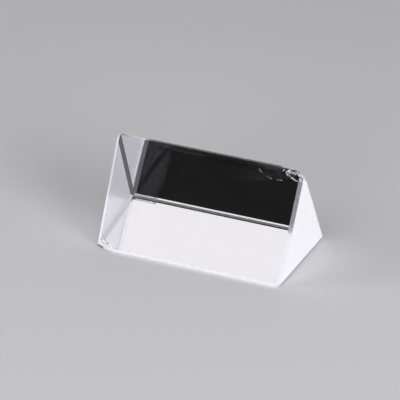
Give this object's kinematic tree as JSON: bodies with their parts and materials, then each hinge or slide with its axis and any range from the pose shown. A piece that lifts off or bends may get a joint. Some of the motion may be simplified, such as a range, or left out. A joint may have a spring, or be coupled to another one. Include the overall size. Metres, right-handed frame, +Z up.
{
  "type": "equilateral glass prism",
  "caption": "Solid equilateral optical prism of clear glass with three polished long faces, ground triangular ends, one a little out of square, bevelled edges and two chipped corners.",
  "frame": {"origin": "under the middle of the glass, on the base face, which lies on the surface the prism stands on", "axes": "+X along the length towards the end whose ridge is chipped, +Y towards the back face, +Z up to the ridge"},
  "size_m": [0.0504, 0.0292, 0.0252],
  "materials": {
    "optical_glass": "clear crown glass: long faces and bevels polished, end faces fine-ground"
  },
  "bodies": {
    "root": {"prism": "optical_glass"}
  },
  "joints": []
}
